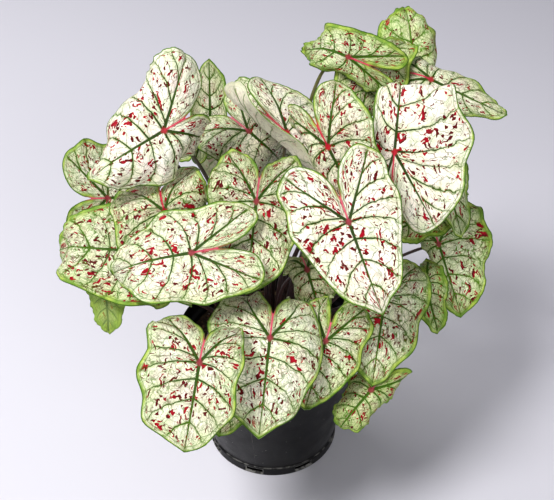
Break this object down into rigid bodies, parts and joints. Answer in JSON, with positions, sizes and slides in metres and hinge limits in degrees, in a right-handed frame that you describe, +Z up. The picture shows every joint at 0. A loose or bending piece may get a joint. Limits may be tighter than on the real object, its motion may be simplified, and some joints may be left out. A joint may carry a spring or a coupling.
{
  "type": "potted caladium",
  "caption": "Heart-leaved caladium, white with green veins and crimson flecks, in a tapered black nursery pot with drainage notches round its foot.",
  "frame": {"origin": "middle of the pot's flat base, on the surface it stands on", "axes": "+Z up through the pot's mouth, -Y towards the plant's fullest side, +X to the right of that side"},
  "size_m": [0.3643, 0.3603, 0.3924],
  "materials": {
    "pot_plastic": "black, slightly glossy moulded plastic",
    "soil": "dark, loose potting mix",
    "tuber": "brown, corky",
    "leaf": "cream white with green veins and margin and crimson flecks, satin",
    "stalk": "dark brown, smooth, paler at the leaf"
  },
  "bodies": {
    "root": {"pot": "pot_plastic", "soil": "soil", "tuber": "tuber", "leaf_01": "leaf", "leaf_02": "leaf", "leaf_03": "leaf", "leaf_04": "leaf", "leaf_05": "leaf", "leaf_06": "leaf", "leaf_07": "leaf", "leaf_08": "leaf", "leaf_09": "leaf", "leaf_10": "leaf", "leaf_11": "leaf", "leaf_12": "leaf", "leaf_13": "leaf", "leaf_14": "leaf", "leaf_15": "leaf", "leaf_16": "leaf", "leaf_17": "leaf", "leaf_18": "leaf", "leaf_19": "leaf", "leaf_20": "leaf", "leaf_22": "leaf", "leaf_23": "leaf", "leaf_24": "leaf", "leaf_25": "leaf", "leaf_26": "leaf", "leaf_27": "leaf", "leaf_29": "leaf", "leaf_32": "leaf", "stalk_01": "stalk", "stalk_02": "stalk", "stalk_03": "stalk", "stalk_04": "stalk", "stalk_05": "stalk", "stalk_06": "stalk", "stalk_07": "stalk", "stalk_08": "stalk", "stalk_09": "stalk", "stalk_10": "stalk", "stalk_11": "stalk", "stalk_12": "stalk", "stalk_13": "stalk", "stalk_14": "stalk", "stalk_15": "stalk", "stalk_16": "stalk", "stalk_17": "stalk", "stalk_18": "stalk", "stalk_19": "stalk", "stalk_20": "stalk", "stalk_22": "stalk", "stalk_23": "stalk", "stalk_24": "stalk", "stalk_25": "stalk", "stalk_26": "stalk", "stalk_27": "stalk", "stalk_29": "stalk", "stalk_32": "stalk", "rear_spray": "leaf"}
  },
  "joints": []
}
